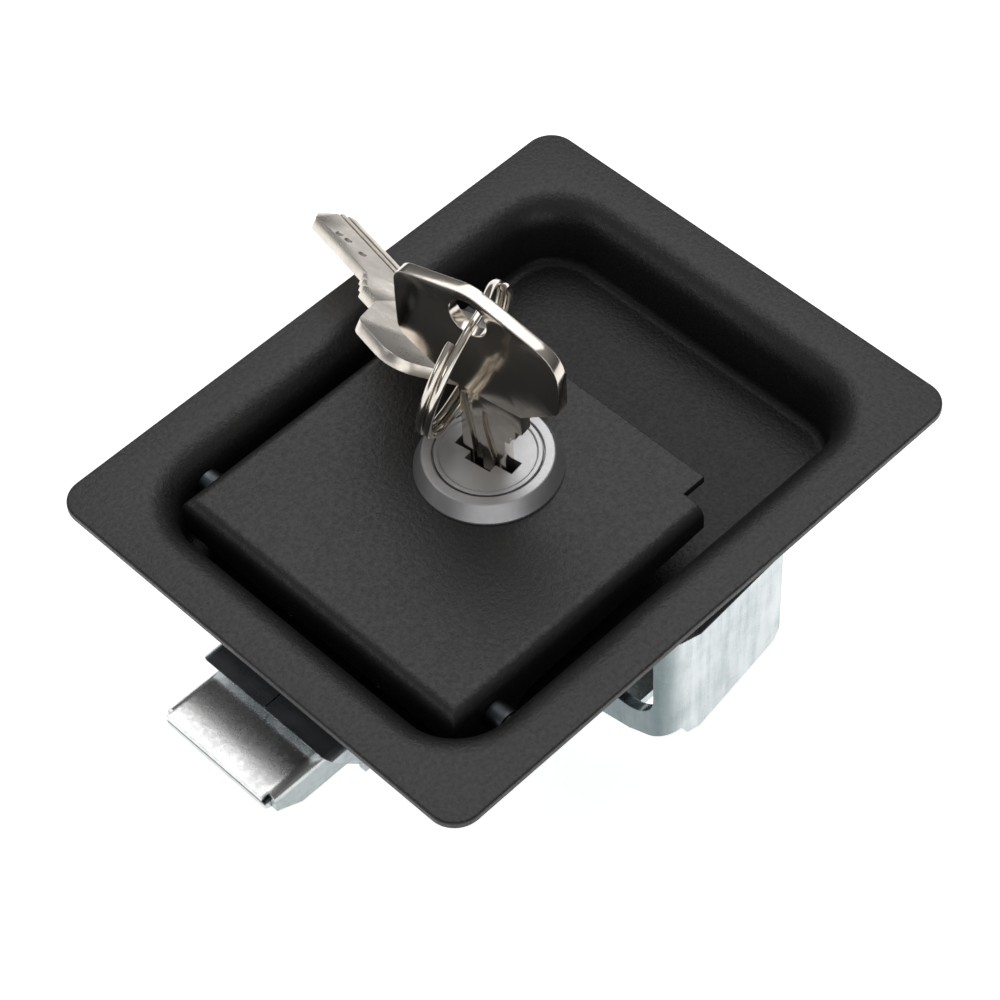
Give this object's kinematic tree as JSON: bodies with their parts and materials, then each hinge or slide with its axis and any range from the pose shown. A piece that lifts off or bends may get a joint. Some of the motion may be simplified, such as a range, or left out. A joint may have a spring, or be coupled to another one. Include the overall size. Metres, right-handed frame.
{
  "type": "paddle latch",
  "caption": "Flush paddle latch with a pressed pan, lifting paddle, key lock, spring slam bolt and rear clamp bracket.",
  "frame": {"origin": "middle of the pan's panel opening at the flange's underside, in the plane of the door's outer face", "axes": "+Z out of the door towards the user, -X the way the bolt points, +Y across the paddle along its pivot pin"},
  "size_m": [0.1275, 0.1026, 0.0935],
  "materials": {
    "black_powder": "fine-textured black powder coat",
    "dark_steel": "dark oxide finish",
    "zinc": "plain zinc plating",
    "bright_zinc": "bright zinc plating",
    "spring_steel": "drawn spring wire",
    "satin_silver": "satin plated die casting",
    "nickel": "nickel plated brass",
    "ring_nickel": "nickel plated wire"
  },
  "bodies": {
    "pan": {"pan": "black_powder", "pivot_pin": "dark_steel", "pivot_spacers": "dark_steel", "bolt_housing": "zinc", "housing_cover": "zinc", "housing_rivets": "zinc", "spring_guide": "zinc", "bolt_spring": "spring_steel", "clamp_bracket": "bright_zinc", "bracket_studs": "zinc", "bracket_washers": "zinc", "bracket_nuts": "zinc"},
    "paddle": {"paddle": "black_powder", "pull_arms": "zinc", "paddle_spring": "spring_steel", "lock_body": "satin_silver", "lock_washer": "zinc", "lock_nut": "zinc"},
    "bolt": {"bolt": "bright_zinc", "bolt_ramp": "bright_zinc"},
    "plug": {"lock_plug": "satin_silver", "lock_cam": "zinc", "cam_screw": "zinc"},
    "key": {"key": "nickel"},
    "ring": {"key_ring": "ring_nickel"},
    "spare": {"spare_key": "nickel"}
  },
  "joints": [
    {"name": "paddle_lift", "type": "hinge", "parent": "pan", "child": "paddle", "pos_m": [-0.036, 0, -0.005], "axis": [0, -1, 0], "range_deg": [0, 38], "stiffness_Nm_per_rad": 0.15, "springref_deg": -22.92},
    {"name": "bolt_slide", "type": "slide", "parent": "pan", "child": "bolt", "axis": [1, 0, 0], "range_m": [0, 0.01], "deforming": ["bolt_spring"]},
    {"name": "plug_turn", "type": "hinge", "parent": "paddle", "child": "plug", "pos_m": [-0.0042, 0, 0.0046], "axis": [0, 0, 1], "range_deg": [0, 90]},
    {"name": "key_pull", "type": "slide", "parent": "plug", "child": "key", "axis": [0, 0, 1], "range_m": [0, 0.0125]},
    {"name": "ring_swing", "type": "hinge", "parent": "key", "child": "ring", "pos_m": [-0.00442, 0.00148, 0.0381], "axis": [0.9895, 0.1444, 0], "range_deg": [0, 30]},
    {"name": "spare_swing", "type": "hinge", "parent": "ring", "child": "spare", "pos_m": [0.00283, 0.00854, 0.01249], "axis": [0.839, 0.146, 0.5242], "range_deg": [0, 15]}
  ],
  "couplings": [
    {"joint": "bolt_slide", "follows": "paddle_lift", "m_per_rad": 0.01507}
  ]
}
